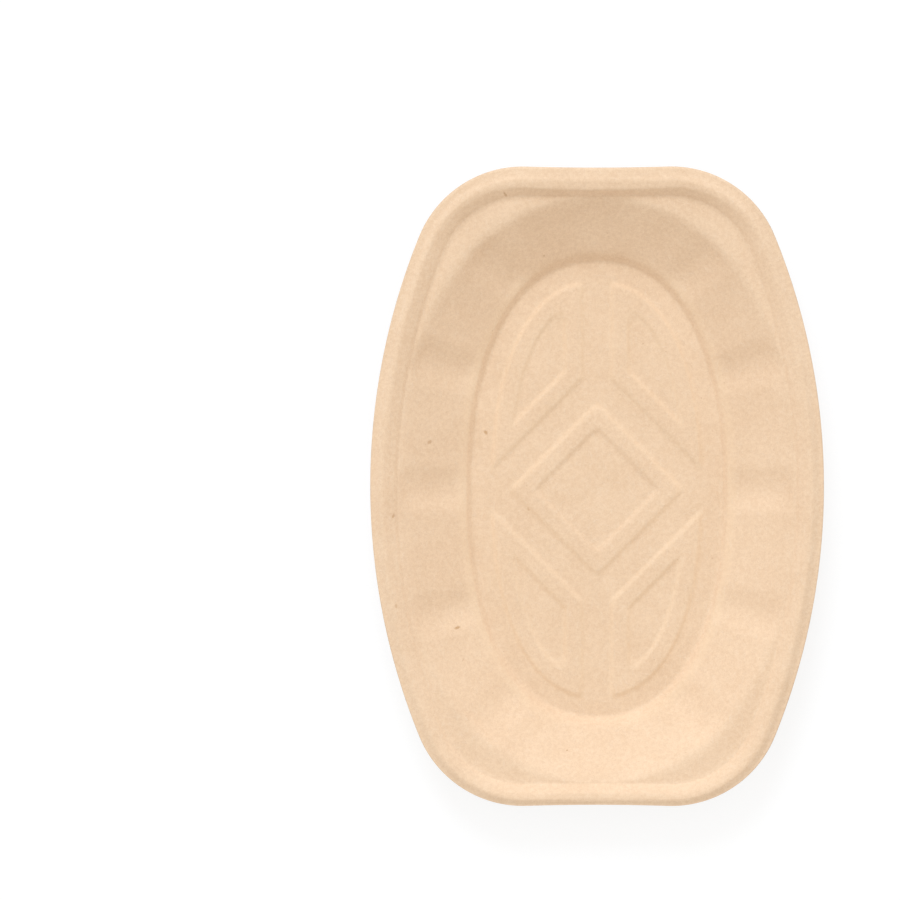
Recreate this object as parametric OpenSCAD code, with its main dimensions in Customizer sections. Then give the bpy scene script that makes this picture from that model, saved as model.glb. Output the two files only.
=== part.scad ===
// Oval serving tray, hot pressed in one piece from sugar cane fibre.
// X runs across the tray, Y along it, and Z up from the table that the foot ring stands on.

/* [Outline] */
// Overall length, along Y
tray_len = 275; // [250:1:300]
// Overall width, along X
tray_w = 195; // [175:1:210]
// Overall height, from the table to the top of the rim
tray_h = 21; // [17:0.5:30]
// Radius of the two bowed long sides
side_r = 285; // [250:5:400]
// Radius of the four corners
corner_r = 48; // [40:1:54]
// Hollow in the middle of each end, below its two corners
end_dip = 0.5; // [0.2:0.1:1.2]
// How far the outline is cut off the middle of the pressed form, along Y
cut_offset = 1.6; // [0:0.1:2.4]
// Thickness of the pressed sheet
sheet_t = 0.8; // [0.6:0.05:1.1]

/* [Rim] */
// Width of the nearly level flange along the edge of the form
flange_w = 2; // [1.5:0.1:2.5]
// Slope of that flange, in degrees
flange_a = 8; // [0:1:15]
// Width of the slope from the flange up to the crest
lip_w = 3; // [2.2:0.1:3.6]
// Height of that slope along the sides and round the corners
lip_h = 1.5; // [0.8:0.1:2.2]
// Height of that slope in the middle of the ends
lip_end_h = 0.7; // [0.4:0.1:1.6]
// Width of the whole rim, from the edge of the form to the middle of the step down to the shelf
rim_w = 9.2; // [8.8:0.1:10.4]
// Fall of the rim from its crest to the start of that step
rim_fall = 0.5; // [0.2:0.1:1]
// Width in plan of the step from the rim down to the shelf, along the sides and round the corners
rim_step_w = 5; // [4:0.1:6]
// Width in plan of that step in the middle of the ends
rim_step_end_w = 2.9; // [2.3:0.1:4]
// Height of that step
rim_step_h = 3; // [2.2:0.1:4]

/* [Well] */
// Length of the mouth of the well
mouth_len = 251.5; // [240:0.5:260]
// Width of the mouth of the well
mouth_w = 172.5; // [160:0.5:180]
// Squareness of the mouth oval, where 2 is an ellipse
mouth_power = 2.16; // [2:0.02:2.5]
// How much the wall steepens from foot to mouth, as a share of its height
wall_bow = 0.2; // [0:0.02:0.3]
// Radius in plan of the bend between wall and shelf
mouth_bend = 1.6; // [1:0.1:3]

/* [Foot] */
// Length of the foot oval, at its outer edge
foot_len = 197; // [187:0.5:202]
// Width of the foot oval, at its outer edge
foot_w = 108; // [101:0.5:112]
// Squareness of the foot oval, where 2 is an ellipse
foot_power = 2.26; // [2:0.02:2.5]
// Width of the flat ring that touches the table
foot_ring_w = 2.5; // [2:0.25:3.5]
// Width in plan of the steep step outside the foot ring
foot_step_w = 3.8; // [3:0.1:5.5]
// Height of that step
foot_step_h = 3.4; // [2:0.1:4.5]
// Rise of the floor above the foot ring
floor_rise = 0.3; // [0.3:0.1:1]
// Width of the ramp from the foot ring up to the floor
floor_ramp_w = 4; // [2:0.25:5]

/* [Flutes] */
// Width of a flute halfway up the wall
flute_w = 23; // [17:0.5:25]
// Depth of a flute in its middle, measured straight down
flute_depth = 1.4; // [0.6:0.1:1.8]
// Place of the flutes between the middle of a side and the corner, in degrees round the oval
flute_side_a = 26.5; // [22:0.5:31]
// Place of the flutes at the corners, in degrees round the oval
flute_corner_a = 57; // [52:0.5:62]

/* [Stiffening ribs] */
// Width of a rib, between the middles of its sloping edges
rib_w = 7.4; // [5:0.2:9]
// Width of each sloping edge
rib_edge_w = 2.2; // [1.2:0.1:2.6]
// Height of the ribs above the floor
rib_h = 0.7; // [0.5:0.1:1.4]
// Radius of a rib's corners, on the outside and at the top
rib_corner_r = 1; // [0.5:0.1:2]
// Distance between the middle lines of neighbouring ribs
rib_pitch = 20.2; // [17:0.1:22]
// Distance of the rib diamond's corners from the centre, on its middle line
diamond_r = 31; // [26:0.2:33]
// Distance from the foot oval to the middle line of the outer ribs
rib_inset = 12.6; // [10:0.2:15]
// Squareness of the oval that the outer ribs follow
rib_oval_power = 2.3; // [2:0.05:2.6]
// Radius inside the outer ribs, next to the tray's middle line
loop_top_r = 3.2; // [1:0.1:5]

/* [Hidden] */
fibre_colour = [0.925, 0.805, 0.675];

// Depth that a rib reaches into the floor, so that the two join
rib_root = 0.2;
// Radius of a rib's corners on the inside, at the floor
rib_inner_r = 0.8;
// Least width of the shelf where the mouth comes close to the rim
least_shelf = 0.8;
// Least width of the flange where the form is cut close to the lip
least_flange = 0.3;
// Turning points on the foot step, and on the rim's step from the shelf up,
// each as [share of the width, share of the height]
foot_turn = [0.75, 0.68];
rim_turns = [[0.31, 0.43], [0.58, 0.6]];
// Places of the sections across a flute, as shares of half its width
flute_cuts = [-0.65, -0.35, 0, 0.35, 0.65];
// Rings on the wall: [share of the way up it, share of a flute's depth]
wall_rings = [[0.05, 0.3], [0.2, 1], [0.5, 1], [0.82, 1]];
// Share of a flute's depth at the bend of the mouth
mouth_sink = 0.5;
// Stretches round a rib's corner, and along a curved rib
corner_steps = 4;
curve_steps = 12;
// Degrees to either side over which a flute's place is spaced out
flute_pace_a = 3;
// Halvings when a place on a section is searched for
search_steps = 22;
// Longest plan distance from the foot oval to the outline
reach = tray_len / 2;

// Heights of the upper skin
crest_z = tray_h;
rim_foot_z = crest_z - rim_fall;
shelf_z = rim_foot_z - rim_step_h;
floor_z = sheet_t + floor_rise;
wall_foot_z = sheet_t + foot_step_h;

// Step from a point to its place on the pressed form, whose middle lies off that of the outline
to_form = [0, cut_offset];

// The outline is made of arcs that meet in line: side, corner and hollow end
side_c = [tray_w / 2 - side_r, 0];
corner_cy = tray_len / 2 - corner_r;
corner_cx = side_c.x + sqrt(pow(side_r - corner_r, 2) - pow(corner_cy, 2));
corner_c = [corner_cx, corner_cy];
end_r = (pow(corner_cx, 2) / end_dip + end_dip) / 2 - corner_r;
end_c = [0, tray_len / 2 - end_dip + end_r];

function mixed(a, b, share) = a + (b - a) * share;
function signed_power(v, p) = sign(v) * pow(abs(v), p);

// Distance of a point inside the outline, and negative outside it
function inset(p) =
    let (q = [abs(p.x), abs(p.y)],
         beside = q.y * (corner_c.x - side_c.x) <= corner_c.y * (q.x - side_c.x),
         at_end = q.x * (end_c.y - corner_c.y) <= corner_c.x * (end_c.y - q.y))
    beside ? side_r - norm(q - side_c)
    : at_end ? norm(q - end_c) - end_r
    : corner_r - norm(q - corner_c);

// A point on a squared oval, and how far out a point lies, with 1 on that oval
function oval(w, len, power, a) =
    [w / 2 * signed_power(cos(a), 2 / power), len / 2 * signed_power(sin(a), 2 / power)];
function oval_level(w, len, power, p) =
    pow(abs(2 * p.x / w), power) + pow(abs(2 * p.y / len), power);

// Each section of the well runs square to the oval halfway up the wall
mid_w = (foot_w + mouth_w) / 2;
mid_len = (foot_len + mouth_len) / 2;
mid_power = (foot_power + mouth_power) / 2;
function oval_out(w, len, power, a) =
    let (n = [signed_power(cos(a), 2 - 2 / power) / w, signed_power(sin(a), 2 - 2 / power) / len])
    n / norm(n);
function foot_at(a) = oval(foot_w, foot_len, foot_power, a) - to_form;
function outward(a) = oval_out(mid_w, mid_len, mid_power, a);
function along(a, s) = foot_at(a) + s * outward(a);

// Plan distance on a section to the mouth, and to a given distance inside the outline,
// whose place is moved where a step is given
function to_mouth(a, lo = 0, hi = reach, left = search_steps) =
    let (mid = (lo + hi) / 2)
    left == 0 ? mid
    : oval_level(mouth_w, mouth_len, mouth_power, along(a, mid) + to_form) < 1
        ? to_mouth(a, mid, hi, left - 1)
        : to_mouth(a, lo, mid, left - 1);
function to_inset(a, d, step = [0, 0], lo = 0, hi = reach, left = search_steps) =
    let (mid = (lo + hi) / 2)
    left == 0 ? mid
    : inset(along(a, mid) + step) > d
        ? to_inset(a, d, step, mid, hi, left - 1)
        : to_inset(a, d, step, lo, mid, left - 1);

// Flutes are placed on one quarter of the oval and mirrored to the others. Each is
// [angle, stretches in the panel between it and the next]
flutes = [
    [0, 3],
    [flute_side_a, 5],
    [flute_corner_a, 17],
    [180 - flute_corner_a, 5],
    [180 - flute_side_a, 3],
    [180, 3],
    [180 + flute_side_a, 5],
    [180 + flute_corner_a, 17],
    [360 - flute_corner_a, 5],
    [360 - flute_side_a, 3]
];
function mid_at(a) = oval(mid_w, mid_len, mid_power, a);
function half_flute(a) =
    flute_pace_a * flute_w / norm(mid_at(a + flute_pace_a) - mid_at(a - flute_pace_a));

// Sections are [angle round the oval, depth share of the flute there]
sections = [
    for (i = [0 : len(flutes) - 1])
        let (a = flutes[i][0],
             count = flutes[i][1],
             next = i + 1 < len(flutes) ? flutes[i + 1][0] : 360,
             from = a + half_flute(a),
             to = next - half_flute(next))
        each concat(
            [for (cut = flute_cuts) [a + cut * half_flute(a), pow(1 - cut * cut, 2)]],
            [for (k = [0 : count]) [mixed(from, to, k / count), 0]])
];

// The lip is lower and the rim's step narrower in the middle of the ends
function end_share(a) = pow(outward(a).y, 6);
function flange_z(a) = crest_z - mixed(lip_h, lip_end_h, end_share(a));
function step_w(a) = mixed(rim_step_w, rim_step_end_w, end_share(a));

// Height of the wall at a share of the way up from the foot step to the mouth
function wall_z(share) =
    mixed(wall_foot_z, shelf_z, (1 - wall_bow) * share + wall_bow * share * share);

// The upper skin on one section, as points [plan distance from the foot oval, height]
function profile(section) =
    let (a = section[0],
         sink = section[1] * flute_depth,
         edge_s = to_inset(a, 0),
         flange_s = min(to_inset(a, flange_w, to_form), edge_s - least_flange),
         crest_s = to_inset(a, flange_w + lip_w, to_form),
         rim_s = to_inset(a, rim_w - step_w(a) / 2, to_form),
         shelf_s = to_inset(a, rim_w + step_w(a) / 2, to_form),
         mouth_s = min(to_mouth(a), shelf_s - least_shelf),
         bend = min(mouth_bend, (shelf_s - mouth_s) / 2),
         bend_share = bend / (mouth_s - foot_step_w))
    [
        [-foot_ring_w - floor_ramp_w, floor_z],
        [-foot_ring_w, sheet_t],
        [0, sheet_t],
        [foot_step_w * foot_turn.x, mixed(sheet_t, wall_foot_z, foot_turn.y)],
        for (ring = wall_rings)
            [mixed(foot_step_w, mouth_s, ring.x), wall_z(ring.x) - sink * ring.y],
        [mouth_s - bend, wall_z(1 - bend_share) - sink * mouth_sink],
        [mouth_s + bend, shelf_z],
        [shelf_s, shelf_z],
        for (turn = rim_turns)
            [mixed(shelf_s, rim_s, turn.x), mixed(shelf_z, rim_foot_z, turn.y)],
        [rim_s, rim_foot_z],
        [crest_s, crest_z],
        [flange_s, flange_z(a)],
        [edge_s, flange_z(a) - (edge_s - flange_s) * tan(flange_a)]
    ];

// Slope of the sheet at a point of a profile, from its neighbours, and level under floor and foot ring
function slope_at(points, k) =
    let (before = points[max(k - 1, 0)], after = points[min(k + 1, len(points) - 1)])
    k == 0 || points[k][1] == sheet_t ? 0 : atan2(after[1] - before[1], after[0] - before[0]);

function upper(a, points, k) = concat(along(a, points[k][0]), points[k][1]);
function lower(a, points, k) =
    let (slope = slope_at(points, k))
    concat(along(a, points[k][0] + sheet_t * sin(slope)), points[k][1] - sheet_t * cos(slope));

// The sheet itself: an upper and a lower skin, joined round the cut edge
module sheet() {
    profiles = [for (section = sections) profile(section)];
    n = len(profiles);
    rings = len(profiles[0]);
    skin_points = [
        for (k = [0 : rings - 1], i = [0 : n - 1]) upper(sections[i][0], profiles[i], k),
        for (k = [0 : rings - 1], i = [0 : n - 1]) lower(sections[i][0], profiles[i], k)
    ];
    below = rings * n;
    faces = [
        [for (i = [n - 1 : -1 : 0]) i],
        [for (i = [0 : n - 1]) below + i],
        for (k = [0 : rings - 2], i = [0 : n - 1])
            let (j = (i + 1) % n, p = k * n, q = p + n)
            each [
                [p + i, p + j, q + j, q + i],
                [below + p + i, below + q + i, below + q + j, below + p + j]
            ],
        for (i = [0 : n - 1])
            let (j = (i + 1) % n, p = (rings - 1) * n)
            [p + i, p + j, below + p + j, below + p + i]
    ];
    polyhedron(skin_points, faces, convexity = 8);
}

// A rib is a closed band with sloping sides. Each of its edges keeps a distance
// from the rib's middle line, and its corners turn about centres that the edges share.
half_top = (rib_w - rib_edge_w) / 2;
half_root = (rib_w + rib_edge_w) / 2 + rib_edge_w * rib_root / rib_h;
rib_edges = [[half_root, -rib_root], [half_top, rib_h], [-half_top, rib_h], [-half_root, -rib_root]];
function turn_d(d, inner_r) =
    d > 0 ? half_top - rib_corner_r : -half_root - inner_r;
function arc(centre, r, from, to) =
    [for (k = [0 : corner_steps])
        centre + r * [cos(mixed(from, to, k / corner_steps)), sin(mixed(from, to, k / corner_steps))]];

// One rib loop fills a quarter of the floor: a straight rib beside the middle,
// one beside the diamond, and a curved one that follows the foot oval
rib_oval_w = foot_w - 2 * rib_inset;
rib_oval_len = foot_len - 2 * rib_inset;
loop_x = rib_pitch / 2;
loop_sum = diamond_r + rib_pitch * sqrt(2);
function curve_out(a) = oval_out(rib_oval_w, rib_oval_len, rib_oval_power, a);
function curve_at(a, d) = oval(rib_oval_w, rib_oval_len, rib_oval_power, a) + d * curve_out(a);

// Angles where an edge of the curved rib meets that of the two straight ones
function tip_angle(d, lo = 0, hi = 45, left = search_steps) =
    let (mid = (lo + hi) / 2, p = curve_at(mid, d))
    left == 0 ? mid
    : p.x + p.y < loop_sum - d * sqrt(2) ? tip_angle(d, mid, hi, left - 1) : tip_angle(d, lo, mid, left - 1);
function top_angle(d, lo = 45, hi = 90, left = search_steps) =
    let (mid = (lo + hi) / 2, p = curve_at(mid, d))
    left == 0 ? mid
    : p.x > loop_x - d ? top_angle(d, mid, hi, left - 1) : top_angle(d, lo, mid, left - 1);

function loop_edge(d) =
    let (c = turn_d(d, rib_inner_r),
         c_top = turn_d(d, loop_top_r),
         tip = tip_angle(c),
         top = top_angle(c_top),
         tip_n = curve_out(tip),
         top_n = curve_out(top))
    concat(
        arc([loop_x - c, loop_sum - c * sqrt(2) - loop_x + c], d - c, 180, 225),
        arc(curve_at(tip, c), d - c, 225, 360 + atan2(tip_n.y, tip_n.x)),
        [for (k = [1 : curve_steps - 1]) curve_at(mixed(tip, top, k / curve_steps), d)],
        arc(curve_at(top, c_top), d - c_top, atan2(top_n.y, top_n.x), 180));

function diamond_edge(d) =
    let (c = turn_d(d, rib_inner_r))
    [for (q = [0 : 90 : 270])
        each arc((diamond_r + c * sqrt(2)) * [cos(q), sin(q)], d - c, q - 45, q + 45)];

// The band through its four edges, each a list of plan points of one length
module band(edges) {
    n = len(edges[0]);
    band_points = [for (e = [0 : 3], p = edges[e]) concat(p, rib_edges[e][1])];
    faces = [for (e = [0 : 3], i = [0 : n - 1])
        let (j = (i + 1) % n, f = (e + 1) % 4)
        [e * n + i, f * n + i, f * n + j, e * n + j]];
    polyhedron(band_points, faces, convexity = 4);
}

module ribs() {
    band([for (e = rib_edges) diamond_edge(e[0])]);
    for (mx = [0, 1], my = [0, 1])
        mirror([mx, 0, 0]) mirror([0, my, 0]) band([for (e = rib_edges) loop_edge(e[0])]);
}

// The ribs are embossed: raised on the upper skin and hollow below by the same height
module tray() {
    color(fibre_colour)
        difference() {
            union() {
                sheet();
                translate([0, -cut_offset, floor_z]) ribs();
            }
            translate([0, -cut_offset, floor_z - sheet_t]) ribs();
        }
}

tray();
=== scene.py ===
"""Dresses a moulded fibre oval tray: one fine pressed sheet, its pulp, and a plain white studio.

X runs across the tray, Y along it and Z up from the table that its foot ring stands on.
"""

from math import atan, atan2, cos, hypot, pi, radians, sin, sqrt, tan, tau

import bmesh
import bpy
from bpy.props import FloatProperty, FloatVectorProperty, IntProperty, PointerProperty
from mathutils import Matrix, Vector, noise


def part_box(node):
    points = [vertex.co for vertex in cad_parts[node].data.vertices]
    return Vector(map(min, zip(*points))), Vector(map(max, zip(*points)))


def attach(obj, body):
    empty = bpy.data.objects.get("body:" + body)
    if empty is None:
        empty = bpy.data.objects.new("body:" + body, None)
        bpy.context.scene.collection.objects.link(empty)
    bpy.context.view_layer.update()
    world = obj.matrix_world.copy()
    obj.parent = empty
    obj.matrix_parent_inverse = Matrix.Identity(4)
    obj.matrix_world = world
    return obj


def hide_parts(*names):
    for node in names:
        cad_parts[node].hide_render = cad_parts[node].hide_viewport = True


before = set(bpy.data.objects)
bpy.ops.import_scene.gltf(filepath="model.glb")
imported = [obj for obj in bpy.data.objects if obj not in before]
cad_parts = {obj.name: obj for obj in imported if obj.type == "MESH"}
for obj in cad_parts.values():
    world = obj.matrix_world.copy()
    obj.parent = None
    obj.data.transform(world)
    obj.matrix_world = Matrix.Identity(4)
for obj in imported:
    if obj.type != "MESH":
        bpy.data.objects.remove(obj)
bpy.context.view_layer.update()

bl_info = {
    "name": "Moulded Fibre Tray",
    "version": (1, 0, 0),
    "blender": (4, 5, 0),
    "location": "View3D > Sidebar > Tray",
    "description": "Presses a moulded fibre oval tray and sets it in a white studio",
    "category": "Add Mesh",
}

MM = 0.001
NODE = "tray"
BODY = "root"
TRAY_LOW, TRAY_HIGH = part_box(NODE)
# The outline's middle is the origin, so its half sizes are those that the solid has on both sides
HALF_WIDTH = min(TRAY_HIGH[0], -TRAY_LOW[0])
HALF_LENGTH = min(TRAY_HIGH[1], -TRAY_LOW[1])


def size(name, description, default):
    """A length property, in metres."""
    return FloatProperty(
        name=name, description=description, default=default, min=0.0, unit="LENGTH", precision=5
    )


def share(name, description, default, low=0.0, high=1.0):
    """A plain number property."""
    return FloatProperty(
        name=name, description=description, default=default, min=low, max=high, precision=3
    )


def count(name, description, default):
    """A number of mesh cells."""
    return IntProperty(name=name, description=description, default=default, min=1)


def colour(name, description, default):
    """A colour property, as linear light."""
    return FloatVectorProperty(
        name=name, description=description, default=default, min=0.0, max=1.0, size=3, subtype="COLOR"
    )


class TraySizes(bpy.types.PropertyGroup):
    """Sizes of the pressed sheet."""

    length: size("Length", "Overall length", 2 * HALF_LENGTH)
    width: size("Width", "Overall width", 2 * HALF_WIDTH)
    height: size("Height", "From the table to the crest of the rim", TRAY_HIGH[2] - TRAY_LOW[2])
    side_radius: size("Side radius", "Radius of the bowed long sides", 285 * MM)
    corner_radius: size("Corner radius", "Radius of the corners", 48 * MM)
    end_dip: size("End dip", "Hollow in the middle of each end", 0.5 * MM)
    cut_offset: size("Cut offset", "How far the outline is cut off the middle of the form", 1.6 * MM)
    sheet: size("Sheet", "Thickness of the pressed sheet", 0.8 * MM)

    flange: size("Flange", "Width of the nearly level flange along the edge of the form", 2.0 * MM)
    least_flange: size(
        "Least flange", "Least width of the flange where the outline is cut closer", 0.3 * MM
    )
    flange_slope: share("Flange slope", "Slope of that flange, in degrees", 8.0, 0.0, 45.0)
    lip: size("Lip", "Width of the slope from the flange up to the crest", 3.0 * MM)
    lip_height: size("Lip height", "Height of that slope along the sides", 1.5 * MM)
    lip_at_ends: size("Lip at the ends", "Width of that slope in the middle of the ends", 2.0 * MM)
    lip_height_at_ends: size(
        "Lip height at the ends", "Height of that slope in the middle of the ends", 0.7 * MM
    )
    end_curl: size("End curl", "How much lower that slope is at +Y, and higher at -Y", 0.25 * MM)
    rim: size("Rim", "Width from the edge of the form to the middle of the step to the shelf", 9.2 * MM)
    rim_fall: size("Rim fall", "Fall of the rim from its crest to the start of that step", 0.5 * MM)
    rim_step: size("Rim step", "Width of that step", 5.0 * MM)
    rim_at_minus_end: size(
        "Rim at -Y", "Width from the edge of the form to that step, in the middle of the -Y end",
        8.6 * MM,
    )
    rim_step_at_plus_end: size(
        "Rim step at +Y", "Width of that step in the middle of the +Y end", 2.3 * MM
    )
    rim_step_at_minus_end: size(
        "Rim step at -Y", "Width of that step in the middle of the -Y end", 4.0 * MM
    )
    rim_step_height: size("Rim step height", "Height of that step", 3.0 * MM)

    mouth_length: size("Mouth length", "Length of the mouth of the well", 251.5 * MM)
    mouth_width: size("Mouth width", "Width of the mouth of the well", 172.5 * MM)
    mouth_power: share("Mouth squareness", "2 is an ellipse", 2.16, 2.0, 3.0)
    least_shelf: size("Least shelf", "Least width of the shelf", 0.8 * MM)
    wall_bow: share("Wall bow", "How much the wall steepens upwards", 0.2)

    foot_length: size("Foot length", "Length of the foot oval", 197.0 * MM)
    foot_width: size("Foot width", "Width of the foot oval", 108.0 * MM)
    foot_power: share("Foot squareness", "2 is an ellipse", 2.26, 2.0, 3.0)
    foot_pull: size("Foot pull", "How much shorter the foot is at -Y", 0.7 * MM)
    foot_ring: size("Foot ring", "Width of the flat ring on the table", 2.5 * MM)
    foot_step: size("Foot step", "Width of the step outside the foot ring", 3.8 * MM)
    foot_step_height: size("Foot step height", "Height of that step", 3.4 * MM)
    side_foot_step: size("Side foot step", "Width of that step along the sides", 2.8 * MM)
    side_foot_step_height: size(
        "Side foot step height", "Height of that step along the sides", 2.5 * MM
    )
    floor_rise: size("Floor rise", "Rise of the floor above the foot ring", 0.18 * MM)
    floor_ramp: size("Floor ramp", "Width of the ramp up to the floor", 4.0 * MM)

    flute: size("Flute", "Width of a flute halfway up the wall", 23.0 * MM)
    flute_depth: size("Flute depth", "Depth of a flute in its middle", 1.4 * MM)
    flute_side_turn: share("Side flutes", "Degrees round the oval", 26.5, 0.0, 90.0)
    flute_corner_turn: share("Corner flutes", "Degrees round the oval", 57.0, 0.0, 90.0)

    rib: size("Rib", "Width of a rib between the middles of its edges", 7.4 * MM)
    rib_edge: size("Rib edge", "Width of a rib's sloping edges", 2.4 * MM)
    rib_height: size("Rib height", "Height of the ribs above the floor", 0.7 * MM)
    rib_crown: size("Rib crown", "How much higher the ribs are than those of the solid", 0.1 * MM)
    rib_corner: size("Rib corner", "Radius of the ribs' outer corners", 1.0 * MM)
    rib_pitch: size("Rib pitch", "Between the middle lines of neighbouring ribs", 20.2 * MM)
    diamond: size("Diamond", "From the centre to the corners of the rib diamond", 31.0 * MM)
    rib_inset: size("Rib inset", "From the foot oval to the middle line of the outer ribs", 12.6 * MM)
    rib_power: share(
        "Rib squareness", "Squareness of the oval that the outer ribs follow", 2.3, 2.0, 3.0
    )
    loop_top: size("Loop top", "Radius inside the rib loops by the middle line", 3.2 * MM)

    floor_columns: count("Floor columns", "Mesh cells across the floor", 122)
    floor_rows: count("Floor rows", "Mesh cells along the floor", 222)


class PulpLook(bpy.types.PropertyGroup):
    """Colours and grain of the pressed fibre, and the paler colour painted on it as a highlight."""

    base: colour("Fibre", "Colour of the pressed fibre", (0.924, 0.681, 0.467))
    deep: colour("Deep fibre", "Colour of the darker clouds in the fibre", (0.792, 0.547, 0.351))
    pale: colour("Pale fibre", "Colour of pale fibres", (0.95, 0.74, 0.55))
    # The paler colour painted as a highlight on the foot step and the ribs' edges, where the light
    # catches them
    pressed: colour(
        "Pressed fibre",
        "Colour of fibre pressed hard, on the foot step and the ribs' edges",
        (0.99, 0.735, 0.485),
    )
    speck: colour("Speck", "Colour of the dark specks", (0.47, 0.23, 0.07))
    cloudy: share("Clouds", "Weight of the broad clouds in the fibre's tone", 0.25)
    mottled: share("Mottle", "Weight of the mottle in it", 0.5)
    grainy: share("Grain", "Weight of the finest grain in it", 0.35)
    fibrous: share("Pale fibres", "How much the pale fibres show", 0.28)
    # How strongly that painted highlight shows
    painted_highlight_share: share("Pressed", "How much the pressed colour shows where it is strongest", 0.22)
    roughness: share("Roughness", "Roughness of the pressed fibre", 0.78)
    gloss: share("Gloss", "Specular level of the pressed fibre", 0.3)
    relief: size("Relief", "Height of the fibre relief", 0.1 * MM)


class StudioLook(bpy.types.PropertyGroup):
    """Light and floor of the white studio."""

    ambient: share("Ambient", "Strength of the even light", 0.739)
    ambient_colour: colour("Ambient colour", "Colour of the even light", (1.0, 0.966, 0.908))
    horizon: share(
        "Horizon", "Strength that is added to the even light towards the horizon", 0.524, 0.0, 5.0
    )
    horizon_colour: colour(
        "Horizon colour", "Colour of the light that is added there", (0.286, 0.59, 1.0)
    )
    key: share("Key", "Strength of the soft key light", 1.714, 0.0, 10.0)
    key_colour: colour("Key colour", "Colour of the soft key light", (0.783, 0.875, 1.0))
    key_turn: share("Key turn", "Degrees from X, seen from above", 101.0, 0.0, 360.0)
    key_rise: share("Key rise", "Degrees above the table", 36.5, 0.0, 90.0)
    key_spread: share("Key spread", "Angle that the key light covers, in degrees", 30.0, 0.0, 180.0)
    floor_plain: share("Floor", "Grey of the floor as it lights the tray from below", 0.62)
    floor_seen: share("Seen floor", "Grey of the floor that the camera sees the shadow on", 0.22)
    floor_glow: share("Floor glow", "Glow that turns the floor white for the camera", 0.82)


def mixed(a, b, part):
    return a + (b - a) * part


def smooth(low, high, value):
    """0 below low, 1 above high, and a soft step between."""
    part = min(1.0, max(0.0, (value - low) / (high - low)))
    return part * part * (3 - 2 * part)


def signed_power(value, power):
    return (1 if value >= 0 else -1) * abs(value) ** power


def soft_min(a, b, radius):
    """The lower of two values, blended where they are within a radius of each other."""
    part = max(0.0, radius - abs(a - b)) / radius
    return min(a, b) - part * part * radius * 0.25


def bend_rise(distance, half):
    """Rise of a unit change of slope that is spread over a bend."""
    if distance <= -half:
        return 0.0
    if distance >= half:
        return distance
    return (distance + half) ** 2 / (4 * half)


def bend_slope(distance, half):
    return min(1.0, max(0.0, (distance + half) / (2 * half)))


# Half widths of the bends on a section: lengths, then shares of the step or wall that they are on
FLOOR_BEND = 1.2 * MM
FOOT_BEND = 0.7 * MM
MOUTH_BEND = 1.5 * MM
CREST_BEND = 0.9 * MM
FLANGE_BEND = 0.4 * MM
FOOT_STEP_BEND = 0.24
WALL_BEND = 0.35
RIM_STEP_BENDS = (0.08, 0.1, 0.13, 0.2)
# Turning points on the rim's step, from the shelf up: share of its width, and shares of its height
# at a side, where they leave a ledge, at a corner, and at an end, where the slope is straight
RIM_STEP_TURNS = ((0.31, 0.43, 0.42, 0.31), (0.58, 0.6, 0.67, 0.58))
# How quickly the sides and the ends give way to the corners, at the rim and at the foot
RIM_FADE = 6
FOOT_FADE = 3
# A flute deepens from a share of the foot step to a distance past it, and fades out round the mouth
FLUTE_START = 0.6
FLUTE_RISE = 5.0 * MM
FLUTE_FADE = (4.5 * MM, 1.5 * MM)
# How far a rib loop is rounded along its sides, in radii of its top
LOOP_ROUNDING = 2.4
# The sheet's slight unevenness: heights between which it sets in, and length, level and depth of waves
WAVE_START = (3 * MM, 12 * MM)
WAVES = ((55 * MM, 0.0, 0.22 * MM), (14 * MM, 0.3, 0.07 * MM))
# Where a paler colour is painted as a highlight: on the foot step, by distance from the foot, and at
# the ribs' edges
FOOT_HIGHLIGHT_BAND = (1.6 * MM, 2.8 * MM, 4.6 * MM, 6.6 * MM)
RIB_HIGHLIGHT_BAND = (0.5 * MM, 1.8 * MM)
RIB_HIGHLIGHT_SHARE = 0.65
# Rings of mesh in each stretch of a section, from the floor's edge out to the cut edge
UPPER_RINGS = (5, 4, 8, 14, 5, 4, 2, 4, 5, 5, 3)
LOWER_RINGS = (3, 2, 4, 7, 3, 2, 1, 2, 3, 2, 2)
# Rings that round the cut edge: how far back from it, and how far down as a share of the sheet
CUT_RINGS = ((0.0, 0.22), (0.05 * MM, 0.7))
# What the fibre follows from point to point: millimetres from the edge, and how much painted highlight
# it gets
LAYERS = ("inset", "pressed")


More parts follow.
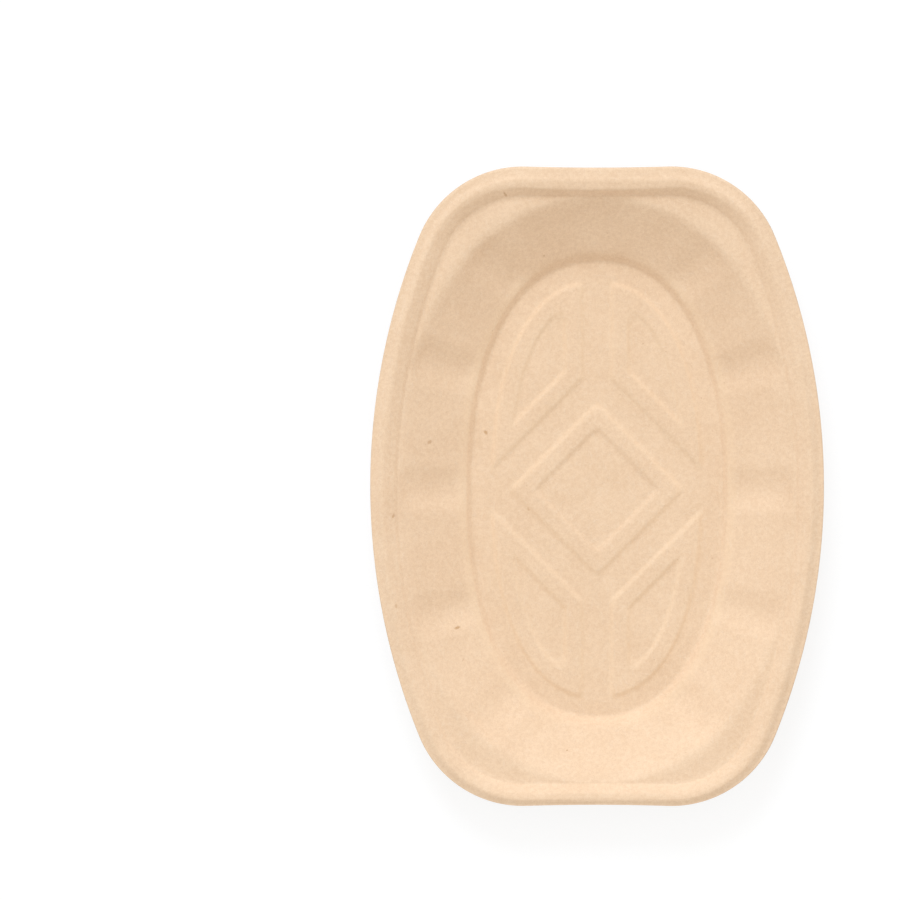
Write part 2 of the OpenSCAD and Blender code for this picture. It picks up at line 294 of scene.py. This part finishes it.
class Section:
    """One section of the sheet, square to the wall, from the floor's edge out to the cut edge."""

    def __init__(self, form, turn):
        self.form = form
        self.foot = form.foot_at(turn)
        self.out = form.outward(turn)
        self.flute_share = form.flute_share(turn)
        # 1 in the middle of a side or an end, and 0 at the other
        self.at_side = abs(self.out.x) ** RIM_FADE
        self.at_end = abs(self.out.y) ** RIM_FADE
        self.near_end = abs(self.out.y) ** FOOT_FADE
        self.at_plus_end = self.out.y > 0
        # Share of the painted highlight on the foot step: all of it along the sides, none in the middle
        # of the ends
        self.pressed = 1 - (self.near_end if self.at_plus_end else self.at_end)
        rim = self.rim_knots()
        shelf, shelf_z, _ = rim[0]
        # Each knot is a corner of the profile: distance, height, and half the width of its bend
        knots = self.well_knots(shelf, shelf_z) + rim
        self.floor_z = knots[0][1]
        self.bends = []
        before = 0.0
        for (at, z, half), (beyond, next_z, _) in zip(knots, knots[1:]):
            slope = (next_z - z) / (beyond - at)
            self.bends.append((at, slope - before, half))
            before = slope
        # The mesh runs from knot to knot, but crosses the bowed wall in one stretch
        self.stretches = [form.floor_reach] + [knot[0] for knot in knots[1:4] + knots[5:]]

    def well_knots(self, shelf, shelf_z):
        """Knots from the floor's edge over the foot ring and up the wall to the mouth."""
        form, s = self.form, self.form.size
        foot = 0.0 if self.at_plus_end else -s.foot_pull * self.near_end
        foot_step = mixed(s.side_foot_step, s.foot_step, self.near_end)
        self.wall_foot = foot + foot_step
        self.mouth = min(self.reach_to(lambda p: form.mouth_level(p) < 1), shelf - s.least_shelf)
        wall = self.mouth - self.wall_foot
        wall_foot_z = s.sheet + mixed(s.side_foot_step_height, s.foot_step_height, self.near_end)
        wall_middle_z = mixed(wall_foot_z, shelf_z, 0.5 - s.wall_bow / 4)
        return [
            (-s.foot_ring - s.floor_ramp, s.sheet + s.floor_rise, FLOOR_BEND),
            (-s.foot_ring, s.sheet, FLOOR_BEND),
            (foot, s.sheet, FOOT_BEND),
            (self.wall_foot, wall_foot_z, foot_step * FOOT_STEP_BEND),
            (self.wall_foot + wall / 2, wall_middle_z, wall * WALL_BEND),
            (self.mouth, shelf_z, MOUTH_BEND),
        ]

    def rim_knots(self):
        """Knots from the outside of the shelf over the rim to the cut edge."""
        form, s = self.form, self.form.size
        end_rim = s.rim if self.at_plus_end else s.rim_at_minus_end
        end_step = s.rim_step_at_plus_end if self.at_plus_end else s.rim_step_at_minus_end
        end_lip_height = s.lip_height_at_ends + (-s.end_curl if self.at_plus_end else s.end_curl)
        rim_width = mixed(s.rim, end_rim, self.at_end)
        step = mixed(s.rim_step, end_step, self.at_end)
        lip = mixed(s.lip, s.lip_at_ends, self.at_end)

        shelf = self.reach_to_depth(rim_width + step / 2)
        rim = self.reach_to_depth(rim_width - step / 2)
        crest = self.reach_to_depth(s.flange + lip)
        self.edge = self.reach_to(lambda p: form.inset(p) > 0)
        flange = min(self.reach_to_depth(s.flange), self.edge - s.least_flange)

        rim_z = s.height - s.rim_fall
        shelf_z = rim_z - s.rim_step_height
        flange_z = s.height - mixed(s.lip_height, end_lip_height, self.at_end)
        edge_z = flange_z - (self.edge - flange) * tan(radians(s.flange_slope))
        low, high = (
            (mixed(shelf, rim, across), mixed(shelf_z, rim_z, self.turn_height(*heights)))
            for across, *heights in RIM_STEP_TURNS
        )
        shelf_bend, low_bend, high_bend, rim_bend = (step * bend for bend in RIM_STEP_BENDS)
        return [
            (shelf, shelf_z, shelf_bend),
            (*low, low_bend),
            (*high, high_bend),
            (rim, rim_z, rim_bend),
            (crest, s.height, CREST_BEND),
            (flange, flange_z, FLANGE_BEND),
            (self.edge, edge_z, 0.0),
        ]

    def turn_height(self, side, corner, end):
        """Share of the rim step's height, between those at a side, a corner and an end."""
        return mixed(mixed(corner, side, self.at_side), end, self.at_end)

    def reach_to_depth(self, depth):
        """The distance out at which a point is so far inside the edge of the pressed form."""
        return self.reach_to(lambda p: self.form.inset(p + self.form.shift) > depth)

    def reach_to(self, inside, high=0.16):
        """The farthest distance out at which a point is still inside."""
        low = 0.0
        for _ in range(26):
            middle = (low + high) / 2
            if inside(self.foot + middle * self.out):
                low = middle
            else:
                high = middle
        return low

    def flute(self, reach):
        """Share of a flute's depth at a distance out."""
        if not self.flute_share:
            return 0.0
        rises = smooth(self.wall_foot * FLUTE_START, self.wall_foot + FLUTE_RISE, reach)
        fades = 1 - smooth(self.mouth - FLUTE_FADE[0], self.mouth + FLUTE_FADE[1], reach)
        return self.flute_share * rises * fades

    def height(self, reach):
        """Height of the upper skin at a distance out, apart from flutes and unevenness."""
        rises = (change * bend_rise(reach - at, half) for at, change, half in self.bends)
        return self.floor_z + sum(rises)

    def slope(self, reach):
        return sum(change * bend_slope(reach - at, half) for at, change, half in self.bends)

    def painted_highlight_at(self, reach):
        """1 on the upper part of the foot step, where a paler colour is painted as a highlight, but at
        the ends.
        """
        return self.pressed * smooth(*FOOT_HIGHLIGHT_BAND[:2], reach) * (1 - smooth(*FOOT_HIGHLIGHT_BAND[2:], reach))


class TrayForm:
    """The upper skin of the tray as formulas, in metres."""

    def __init__(self, sizes):
        s = self.size = sizes
        corner_y = s.length / 2 - s.corner_radius
        side_x = s.width / 2 - s.side_radius
        corner_x = side_x + sqrt((s.side_radius - s.corner_radius) ** 2 - corner_y ** 2)
        self.side_c = Vector((side_x, 0))
        self.corner_c = Vector((corner_x, corner_y))
        self.end_radius = (corner_x ** 2 / s.end_dip + s.end_dip) / 2 - s.corner_radius
        self.end_c = Vector((0, s.length / 2 - s.end_dip + self.end_radius))
        # Step from a point to its place on the pressed form, whose middle lies off that of the outline
        self.shift = Vector((0, s.cut_offset))
        self.middle = (
            (s.foot_width + s.mouth_width) / 2,
            (s.foot_length + s.mouth_length) / 2,
            (s.foot_power + s.mouth_power) / 2,
        )
        self.floor_reach = -(s.foot_ring + s.floor_ramp + FLOOR_BEND)
        side, corner = radians(s.flute_side_turn), radians(s.flute_corner_turn)
        half_round = (0, side, corner, pi - corner, pi - side)
        self.flutes = [start + turn for start in (0, pi) for turn in half_round]
        self.rib_oval = (s.foot_width - 2 * s.rib_inset, s.foot_length - 2 * s.rib_inset, s.rib_power)
        self.loop_x = s.rib_pitch / 2
        self.loop_sum = s.diamond + s.rib_pitch * sqrt(2)

    def inset(self, p):
        """Distance of a point inside the outline."""
        s = self.size
        q = Vector((abs(p.x), abs(p.y)))
        corner, side, end = self.corner_c, self.side_c, self.end_c
        if q.y * (corner.x - side.x) <= corner.y * (q.x - side.x):
            return s.side_radius - (q - side).length
        if q.x * (end.y - corner.y) <= corner.x * (end.y - q.y):
            return (q - end).length - self.end_radius
        return s.corner_radius - (q - corner).length

    @staticmethod
    def oval(width, length, power, turn):
        return Vector((
            width / 2 * signed_power(cos(turn), 2 / power),
            length / 2 * signed_power(sin(turn), 2 / power),
        ))

    @staticmethod
    def oval_level(width, length, power, p):
        return abs(2 * p.x / width) ** power + abs(2 * p.y / length) ** power

    def mouth_level(self, p):
        s = self.size
        return self.oval_level(s.mouth_width, s.mouth_length, s.mouth_power, p + self.shift)

    def foot_at(self, turn):
        s = self.size
        return self.oval(s.foot_width, s.foot_length, s.foot_power, turn) - self.shift

    def outward(self, turn):
        width, length, power = self.middle
        way = Vector((
            signed_power(cos(turn), 2 - 2 / power) / width,
            signed_power(sin(turn), 2 - 2 / power) / length,
        ))
        return way.normalized()

    def flute_share(self, turn):
        """1 in the middle of a flute, 0 between flutes, and rounded across its width."""
        s = self.size
        near = min(self.flutes, key=lambda f: abs((turn - f + pi) % tau - pi))
        away = abs((turn - near + pi) % tau - pi)
        beside = radians(3)
        before, after = (self.oval(*self.middle, near + way) for way in (-beside, beside))
        pace = (after - before).length / (2 * beside)
        return max(0.0, 1 - (2 * away * pace / s.flute) ** 2) ** 2

    def inside_rib_oval(self, p):
        """About the distance of a point inside the oval that the outer ribs follow."""
        width, length, power = self.rib_oval
        level = self.oval_level(width, length, power, p)
        if level < 1e-6:
            return width / 2
        value = level ** (1 / power)
        scale = value ** (1 - power)
        steep = hypot(
            scale * abs(2 * p.x / width) ** (power - 1) * 2 / width,
            scale * abs(2 * p.y / length) ** (power - 1) * 2 / length,
        )
        return (1 - value) / steep

    def in_loop(self, p, grow, top_radius):
        """How far a point lies inside a rib loop's outline, which is grown by a distance."""
        s = self.size
        beside_middle = p.x - self.loop_x
        beside_diamond = (p.x + p.y - self.loop_sum) / sqrt(2)
        inside_oval = self.inside_rib_oval(p)
        upper = soft_min(beside_middle, inside_oval, top_radius * LOOP_ROUNDING)
        return soft_min(upper, beside_diamond, s.rib_corner) + grow

    def rib_outlines(self, p):
        """How far a point lies inside the outer and the inner outline of the diamond, and of a loop."""
        s = self.size
        q = Vector((abs(p.x), abs(p.y + s.cut_offset)))
        half_rib = s.rib / 2
        soft = s.rib_corner
        across = sqrt(q.x ** 2 + soft ** 2) + sqrt(q.y ** 2 + soft ** 2) - soft
        in_diamond = (s.diamond - across) / sqrt(2)
        loop_out = self.in_loop(q, half_rib, s.rib_corner)
        loop_in = self.in_loop(q, -half_rib, s.loop_top)
        return (in_diamond + half_rib, in_diamond - half_rib), (loop_out, loop_in)

    def rib_painted_highlight(self, p):
        """Share of the painted highlight along the ribs' edges, apart from the diamond's inner one."""
        (diamond_out, _), (loop_out, loop_in) = self.rib_outlines(p)
        away = min(abs(diamond_out), abs(loop_out), abs(loop_in))
        return RIB_HIGHLIGHT_SHARE * (1 - smooth(*RIB_HIGHLIGHT_BAND, away))

    def rib_share(self, p):
        """1 on top of a rib, 0 on the floor, and a soft step across a rib's edges."""
        half_edge = self.size.rib_edge / 2
        band = 0.0
        for outer, inner in self.rib_outlines(p):
            raised = smooth(-half_edge, half_edge, outer) * (1 - smooth(-half_edge, half_edge, inner))
            band = max(band, raised)
        return band

    def floor_point(self, p):
        s = self.size
        z = s.sheet + s.floor_rise + (s.rib_height + s.rib_crown) * self.rib_share(p)
        return Vector((p.x, p.y, z))

    def floor_normal(self, p):
        s = self.size
        step = 0.2 * MM
        dx = self.rib_share(p + Vector((step, 0))) - self.rib_share(p - Vector((step, 0)))
        dy = self.rib_share(p + Vector((0, step))) - self.rib_share(p - Vector((0, step)))
        tilt = (s.rib_height + s.rib_crown) / (2 * step)
        return Vector((-dx * tilt, -dy * tilt, 1)).normalized()

    def floor_turn(self, u, v):
        """Turn round the oval of a point of the square floor grid."""
        power = self.size.foot_power / 2
        return atan2(signed_power(v, power), signed_power(u, power)) % tau

    def floor_place(self, u, v):
        """Takes a point of a square, from -1 to 1 both ways, to its place on the oval floor."""
        ring = max(abs(u), abs(v))
        if ring == 0:
            return -self.shift
        s = self.size
        turn = self.floor_turn(u, v)
        edge = self.foot_at(turn) + self.shift + self.floor_reach * self.outward(turn)
        half_width = s.foot_width / 2 + self.floor_reach
        half_length = s.foot_length / 2 + self.floor_reach
        even = Vector((u * half_width, v * half_length))
        return even.lerp(edge * ring, ring * ring) - self.shift

    def sheet_wave(self, p, z):
        """Slight unevenness of the pressed sheet, which only ever lowers it."""
        lift = smooth(*WAVE_START, z)
        if lift == 0:
            return 0.0
        drops = (
            depth * (noise.noise(Vector((p.x, p.y, level)) / length) * 0.5 + 0.5)
            for length, level, depth in WAVES
        )
        return -lift * sum(drops)


def stretch_reaches(section, counts):
    """Distances of the rings on a section."""
    reaches = []
    for start, end, count in zip(section.stretches, section.stretches[1:], counts):
        reaches += [mixed(start, end, k / count) for k in range(1, count + 1)]
    return reaches


def grow_ring(bm, edges):
    """Extrudes a loop of edges where it lies, and gives the new loop and its points."""
    grown = bmesh.ops.extrude_edge_only(bm, edges=edges)["geom"]
    points = [v for v in grown if isinstance(v, bmesh.types.BMVert)]
    fresh = set(points)
    loop = [e for e in grown if isinstance(e, bmesh.types.BMEdge) and fresh.issuperset(e.verts)]
    return loop, points


def press_skin(bm, form, columns, rows, counts, underside):
    """Adds one skin of the sheet: a grid for the floor, grown ring by ring out to the cut edge."""
    grid = bmesh.ops.create_grid(bm, x_segments=columns, y_segments=rows, size=1.0)["verts"]
    on_grid = set(grid)
    edges = [e for e in bm.edges if e.is_boundary and on_grid.issuperset(e.verts)]
    number = bm.verts.layers.int["section"]
    # The second layer holds how much painted highlight each point gets
    inset, pressed = (bm.verts.layers.float[name] for name in LAYERS)
    sections = []
    for v in dict.fromkeys(v for e in edges for v in e.verts):
        v[number] = len(sections)
        sections.append(Section(form, form.floor_turn(v.co.x, v.co.y)))
    for v in grid:
        place = form.floor_place(v.co.x, v.co.y)
        v.co = form.floor_point(place)
        if underside:
            v.co -= form.size.sheet * form.floor_normal(place)
        v[inset] = form.inset(place) / MM
        v[pressed] = form.rib_painted_highlight(place)
    reaches = [stretch_reaches(section, counts) for section in sections]
    for ring in range(sum(counts)):
        edges, points = grow_ring(bm, edges)
        for v in points:
            section = sections[v[number]]
            reach = reaches[v[number]][ring]
            v.co = sheet_point(form, section, reach, underside)
            v[inset] = form.inset(section.foot + reach * section.out) / MM
            v[pressed] = section.painted_highlight_at(reach)
    return edges, sections


def sheet_point(form, section, reach, underside):
    """A point of the upper or lower skin, at a distance out on a section."""
    s = form.size
    z = section.height(reach)
    flat = section.foot + reach * section.out
    z += form.sheet_wave(flat, z) - s.flute_depth * section.flute(reach)
    if underside:
        tilt = atan(section.slope(reach))
        flat = flat + s.sheet * sin(tilt) * section.out
        z -= s.sheet * cos(tilt)
    return Vector((flat.x, flat.y, z))


def cut_edge(bm, form, edges, sections):
    """Rounds the cut edge: two more rings that turn down from the upper skin."""
    number = bm.verts.layers.int["section"]
    for back, down in CUT_RINGS:
        edges, points = grow_ring(bm, edges)
        drop = Vector((0, 0, down * form.size.sheet))
        for v in points:
            section = sections[v[number]]
            v.co = sheet_point(form, section, section.edge - back, False) - drop
    return edges


def new_object(name, bm, material):
    mesh = bpy.data.meshes.new(name)
    bm.to_mesh(mesh)
    bm.free()
    mesh.shade_smooth()
    mesh.materials.append(material)
    piece = bpy.data.objects.new(name, mesh)
    bpy.context.scene.collection.objects.link(piece)
    return piece


class Sum:
    """A socket of a node tree on which numbers are worked out, one Math node for each sign."""

    def __init__(self, recipe, socket):
        self.recipe = recipe
        self.socket = socket

    def math(self, operation, *values):
        return self.recipe.node("ShaderNodeMath", {"operation": operation}, *values)

    def __add__(self, other):
        return self.math("ADD", self, other)

    __radd__ = __add__

    def __mul__(self, other):
        return self.math("MULTIPLY", self, other)

    __rmul__ = __mul__

    def __sub__(self, other):
        return self.math("SUBTRACT", self, other)

    def __rsub__(self, other):
        return self.math("SUBTRACT", other, self)

    def beside(self, output):
        """Another output of the same node."""
        return Sum(self.recipe, self.socket.node.outputs[output])

    def above(self, low, high):
        """0 below low, 1 above high, and a soft step between."""
        return self.recipe.node(
            "ShaderNodeMapRange",
            {"interpolation_type": "SMOOTHSTEP"},
            self, low, high, 0.0, 1.0,
            output="Result",
        )


class Recipe:
    """The node tree of a material or a world, and the one way that nodes are added to it."""

    def __init__(self, owner):
        owner.use_nodes = True
        self.tree = owner.node_tree
        self.tree.nodes.clear()

    def node(self, kind, settings=None, *values, output=0, **named):
        """Adds a node, sets it up, fills its sockets in order or by name, and returns one output."""
        node = self.tree.nodes.new(kind)
        for name, value in (settings or {}).items():
            setattr(node, name, value)
        filled = list(enumerate(values))
        filled += [(name.replace("_", " "), value) for name, value in named.items()]
        for key, value in filled:
            self.fill(node.inputs[key], value)
        return Sum(self, node.outputs[output]) if node.outputs else node

    def fill(self, socket, value):
        if isinstance(value, Sum):
            self.tree.links.new(value.socket, socket)
        elif value is not None:
            socket.default_value = value

    def blend(self, part, first, second):
        """Mixes two colours."""
        # A Mix node has five sockets for numbers and vectors between its factor and its colours
        unused = [None] * 5
        colours = [value if isinstance(value, Sum) else (*value, 1.0) for value in (first, second)]
        return self.node("ShaderNodeMix", {"data_type": "RGBA"}, part, *unused, *colours, output=2)

    def vector(self, operation, *values, output=0):
        return self.node("ShaderNodeVectorMath", {"operation": operation}, *values, output=output)

    def scaled(self, vector, factor):
        """A vector or a colour times a number."""
        return self.vector("SCALE", vector, None, None, factor)

    def attribute(self, name):
        """A number that the mesh carries from point to point."""
        return self.node("ShaderNodeAttribute", {"attribute_name": name}, output="Fac")

    def grain(self, place, scale, detail=2.0, roughness=0.5, stretch=None, output="Fac"):
        """Noise of about 0 to 1, at a place, stretched where a stretch is given."""
        if stretch:
            place = self.vector("MULTIPLY", place, stretch)
        return self.node(
            "ShaderNodeTexNoise", {"noise_dimensions": "3D"},
            Vector=place, Scale=scale, Detail=detail, Roughness=roughness, output=output,
        )


# Turns of the layers of fibres in degrees, the shift from one to the next in millimetres,
# and how a fibre's noise is drawn out, per millimetre along it and across it
FIBRE_TURNS = (12, 58, 97, 151)
FIBRE_SHIFT = 17.0
FIBRE_STRETCH = (0.22, 2.1, 1.2)
# Streaks on the rim: noise per millimetre across it and along it, the distances from the edge
# between which they fade out, and their height as a share of the relief
STREAKS_ACROSS = 0.75
STREAKS_ALONG = 0.02
STREAKS_END = (7.0, 11.0)
STREAK_HEIGHT = 1.6
# Where a speck's soft edge starts and ends, in half sizes from its middle
SPECK_EDGE = (0.45, 1.25)
# Specks seen on the tray, in millimetres: place, half length, half breadth, turn in degrees, strength
SPECKS = (
    (-48.0, 23.2, 1.25, 0.85, -45, 0.55),
    (-72.1, 19.0, 1.25, 0.75, 40, 0.4),
    (-87.6, -12.8, 1.05, 0.6, 72, 0.5),
    (-29.6, -9.9, 0.9, 0.45, 110, 0.3),
    (-60.2, -61.0, 1.45, 0.65, 20, 0.6),
    (-57.7, -74.8, 0.9, 0.35, 70, 0.3),
    (-12.9, -113.8, 0.4, 0.4, 0, 0.75),
    (-22.8, 99.3, 0.4, 0.4, 0, 0.5),
    (-39.4, 125.4, 1.3, 0.5, -50, 0.5),
    (-86.3, -51.5, 1.0, 0.5, 90, 0.3),
)


def pulp_material(look):
    """Pressed plant fibre: cloudy, with fine fibres lying every way, a few dark specks and a painted
    highlight on the foot step and the ribs' edges.
    """
    material = bpy.data.materials.new("pressed_fibre")
    recipe = Recipe(material)
    # Places are worked out in millimetres
    place = recipe.scaled(recipe.node("ShaderNodeTexCoord", output="Object"), 1 / MM)

    clouds = recipe.grain(place, scale=0.045, detail=4.0)
    mottle = recipe.grain(place, scale=0.62, detail=4.0, roughness=0.62)
    fine = recipe.grain(place, scale=1.9, roughness=0.6)
    layers = [
        fibre_layer(recipe, place, turn, FIBRE_SHIFT * number)
        for number, turn in enumerate(FIBRE_TURNS, start=1)
    ]
    fibres = sum(layers[1:], layers[0])

    tone = (
        clouds.above(0.3, 0.7) * look.cloudy
        + mottle.above(0.32, 0.7) * look.mottled
        + fine.above(0.32, 0.68) * look.grainy
    )
    body = recipe.blend(tone, look.deep, look.base)
    # A paler colour painted as a highlight on the foot step and the ribs' edges
    body = recipe.blend(recipe.attribute("pressed") * look.painted_highlight_share, body, look.pressed)
    body = recipe.blend(fibres * look.fibrous, body, look.pale)
    body = recipe.blend(all_specks(recipe, ragged_place(recipe, place)), body, look.speck)

    # Shares of the relief's height
    relief = mottle * 0.55 + fine * 0.35 + fibres * 0.35 + rim_streaks(recipe, place)
    bump = recipe.node(
        "ShaderNodeBump", {}, Strength=1.0, Distance=look.relief, Height=relief, output="Normal",
    )
    surface = recipe.node(
        "ShaderNodeBsdfPrincipled", {},
        Base_Color=body, Roughness=look.roughness, Specular_IOR_Level=look.gloss, Normal=bump,
        output="BSDF",
    )
    recipe.node("ShaderNodeOutputMaterial", {}, Surface=surface)
    return material


def fibre_layer(recipe, place, turn, shift):
    """Thin fibres that all lie one way, on a pattern turned about Z and shifted from the others'."""
    way = recipe.node(
        "ShaderNodeMapping", {"vector_type": "POINT"},
        place, (shift, shift * 0.7, shift * 1.3), (0, 0, radians(turn)), (1, 1, 1),
        output="Vector",
    )
    return recipe.grain(way, scale=1.0, stretch=FIBRE_STRETCH).above(0.6, 0.72)


def ragged_place(recipe, place):
    """A place moved by a small random step, which makes the outlines drawn there ragged."""
    step = recipe.vector("SUBTRACT", recipe.grain(place, scale=1.6, output="Color"), (0.5, 0.5, 0.5))
    return recipe.vector("ADD", place, recipe.scaled(step, 0.9))


def all_specks(recipe, place):
    """Faint specks all over, large and small, and the darker ones that are seen on the tray."""
    large = random_specks(recipe, place, scale=0.2, radius=0.09, rare=0.6, strength=0.3)
    small = random_specks(recipe, place, scale=0.5, radius=0.2, rare=0.7, strength=0.16)
    specks = large + small
    for x, y, length, breadth, turn, strength in SPECKS:
        specks = specks + placed_speck(recipe, place, (x, y), (length, breadth), turn) * strength
    return specks


def placed_speck(recipe, place, middle, halves, turn):
    """One oval speck: 1 in its middle and 0 outside, at any height."""
    inside = recipe.node(
        "ShaderNodeMapping", {"vector_type": "TEXTURE"},
        place, (*middle, 0.0), (0, 0, radians(turn)), (*halves, 1000.0),
        output="Vector",
    )
    away = recipe.vector("LENGTH", inside, output="Value")
    return 1 - away.above(*SPECK_EDGE)


def rim_streaks(recipe, place):
    """Faint streaks and creases that run along the rim, close together, and fade out on the shelf."""
    inset = recipe.attribute("inset")
    along = recipe.scaled(place, STREAKS_ALONG)
    x = recipe.node("ShaderNodeSeparateXYZ", {}, along, output="X")
    way = recipe.node("ShaderNodeCombineXYZ", {}, inset * STREAKS_ACROSS, x, x.beside("Y"))
    on_rim = 1 - inset.above(*STREAKS_END)
    return recipe.grain(way, scale=1.0, roughness=0.6) * on_rim * STREAK_HEIGHT


def random_specks(recipe, place, scale, radius, rare, strength):
    """A few small dark specks: cells of which only some hold one, each of its own size."""
    cells = recipe.node(
        "ShaderNodeTexVoronoi", {"voronoi_dimensions": "3D"},
        Vector=place, Scale=scale, output="Distance",
    )
    chosen = recipe.node("ShaderNodeSeparateColor", {}, cells.beside("Color"), output="Red")
    limit = chosen.above(rare, 1.0) * radius
    inside = (limit - cells).above(0.0, radius * 0.6)
    return inside * strength


def grey(level):
    return (level, level, level, 1.0)


def white_floor(recipe, look):
    """A floor that shows white to the camera, with the object's shadow left faint on it."""
    camera = recipe.node("ShaderNodeLightPath", output="Is Camera Ray")
    seen = camera.math("MAXIMUM", camera, camera.beside("Is Glossy Ray"))
    seen = seen.math("MAXIMUM", seen, camera.beside("Is Transmission Ray"))
    plain = recipe.node("ShaderNodeBsdfDiffuse", {}, Color=grey(look.floor_plain), output="BSDF")
    faint = recipe.node("ShaderNodeBsdfDiffuse", {}, Color=grey(look.floor_seen), output="BSDF")
    glow = recipe.node(
        "ShaderNodeEmission", {}, Color=grey(1.0), Strength=look.floor_glow, output="Emission",
    )
    shown = recipe.node("ShaderNodeAddShader", {}, faint, glow, output="Shader")
    both = recipe.node("ShaderNodeMixShader", {}, seen, plain, shown, output="Shader")
    recipe.node("ShaderNodeOutputMaterial", {}, Surface=both)


class TRAY_OT_press_sheet(bpy.types.Operator):
    """Press the sheet of the tray and give it its fibre"""

    bl_idname = "tray.press_sheet"
    bl_label = "Press the sheet"

    def execute(self, context):
        sizes = context.scene.tray_sizes
        form = TrayForm(sizes)
        bm = bmesh.new()
        bm.verts.layers.int.new("section")
        for name in LAYERS:
            bm.verts.layers.float.new(name)
        columns, rows = sizes.floor_columns, sizes.floor_rows
        edges, sections = press_skin(bm, form, columns, rows, UPPER_RINGS, False)
        edges = cut_edge(bm, form, edges, sections)
        lower, _ = press_skin(bm, form, columns // 2, rows // 2, LOWER_RINGS, True)
        bmesh.ops.bridge_loops(bm, edges=edges + lower)
        bmesh.ops.recalc_face_normals(bm, faces=bm.faces)
        bm.verts.layers.int.remove(bm.verts.layers.int["section"])
        piece = new_object("pressed_tray", bm, pulp_material(context.scene.pulp_look))
        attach(piece, BODY)
        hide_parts(NODE)
        return {"FINISHED"}


class TRAY_OT_set_stage(bpy.types.Operator):
    """Set the white floor, the soft light and the camera"""

    bl_idname = "tray.set_stage"
    bl_label = "Set the stage"

    # The photo's frame: its width in pixels, the tray's middle in it, and the real size of a pixel
    frame_px = 900
    middle_px = (597.0, 486.15)
    pixel = 0.4297 * MM
    # The camera stands high over the middle of the tray, has a sensor in millimetres and sees so far
    camera_rise = 4.0
    sensor_width = 36.0
    view_end = 100.0
    floor_half = 6.0

    def execute(self, context):
        look = context.scene.studio_look
        self.add_floor(look)
        self.add_world(look)
        self.add_key(look)
        self.add_camera(context)
        return {"FINISHED"}

    def add_floor(self, look):
        bm = bmesh.new()
        bmesh.ops.create_grid(bm, x_segments=1, y_segments=1, size=self.floor_half)
        material = bpy.data.materials.new("white_floor")
        white_floor(Recipe(material), look)
        floor_piece = new_object("studio_floor", bm, material)

    def add_world(self, look):
        world = bpy.data.worlds.new("studio")
        bpy.context.scene.world = world
        recipe = Recipe(world)
        way = recipe.node("ShaderNodeTexCoord", output="Generated")
        rise = recipe.node("ShaderNodeSeparateXYZ", {}, way, output="Z")
        low = 1 - rise.math("ABSOLUTE", rise)
        glow = recipe.scaled(look.horizon_colour, low * low * low * look.horizon)
        even = recipe.scaled(look.ambient_colour, look.ambient)
        path = recipe.node("ShaderNodeLightPath", output="Is Camera Ray")
        shown = recipe.blend(path, recipe.vector("ADD", glow, even), (1, 1, 1))
        back = recipe.node("ShaderNodeBackground", {}, shown, 1.0, output="Background")
        recipe.node("ShaderNodeOutputWorld", {}, Surface=back)

    def add_key(self, look):
        lamp = bpy.data.lights.new("key", "SUN")
        lamp.energy = look.key
        lamp.color = look.key_colour
        lamp.angle = radians(look.key_spread)
        key = bpy.data.objects.new("key", lamp)
        turn, rise = radians(look.key_turn), radians(look.key_rise)
        way = Vector((cos(rise) * cos(turn), cos(rise) * sin(turn), sin(rise)))
        key.location = way
        key.rotation_euler = way.to_track_quat("Z", "Y").to_euler()
        bpy.context.scene.collection.objects.link(key)

    def add_camera(self, context):
        rim_z = context.scene.tray_sizes.height
        half = self.frame_px / 2
        aim = Vector((
            (half - self.middle_px[0]) * self.pixel,
            (self.middle_px[1] - half) * self.pixel,
            rim_z,
        ))
        place = Vector((0, 0, rim_z + self.camera_rise))
        data = bpy.data.cameras.new("camera")
        data.sensor_width = self.sensor_width
        data.lens = data.sensor_width * (place - aim).length / (self.frame_px * self.pixel)
        data.clip_end = self.view_end
        camera = bpy.data.objects.new("camera", data)
        camera.matrix_world = Matrix.Translation(place) @ self.looking(place, aim)
        context.scene.collection.objects.link(camera)
        context.scene.camera = camera

    @staticmethod
    def looking(place, aim):
        """A turn that looks from a place at an aim, with +Y at the top of the picture."""
        back = (place - aim).normalized()
        right = Vector((0, 1, 0)).cross(back).normalized()
        up = back.cross(right)
        return Matrix((right, up, back)).transposed().to_4x4()


class TRAY_PT_panel(bpy.types.Panel):
    """Lists the tray's operators and sizes"""

    bl_idname = "TRAY_PT_panel"
    bl_label = "Moulded Fibre Tray"
    bl_space_type = "VIEW_3D"
    bl_region_type = "UI"
    bl_category = "Tray"

    def draw(self, context):
        layout = self.layout
        for operator in (TRAY_OT_press_sheet, TRAY_OT_set_stage):
            layout.operator(operator.bl_idname)
        for group in ("tray_sizes", "pulp_look", "studio_look"):
            holder = getattr(context.scene, group)
            box = layout.box()
            for name in holder.bl_rna.properties.keys():
                if name not in ("rna_type", "name"):
                    box.prop(holder, name)


CLASSES = (TraySizes, PulpLook, StudioLook, TRAY_OT_press_sheet, TRAY_OT_set_stage, TRAY_PT_panel)
GROUPS = {"tray_sizes": TraySizes, "pulp_look": PulpLook, "studio_look": StudioLook}


def register():
    for cls in CLASSES:
        bpy.utils.register_class(cls)
    for name, group in GROUPS.items():
        setattr(bpy.types.Scene, name, PointerProperty(type=group))


def unregister():
    for name in GROUPS:
        delattr(bpy.types.Scene, name)
    for cls in reversed(CLASSES):
        bpy.utils.unregister_class(cls)


def main():
    register()
    bpy.context.scene.view_settings.view_transform = "Standard"
    bpy.ops.tray.press_sheet()
    bpy.ops.tray.set_stage()


if __name__ == "__main__":
    main()
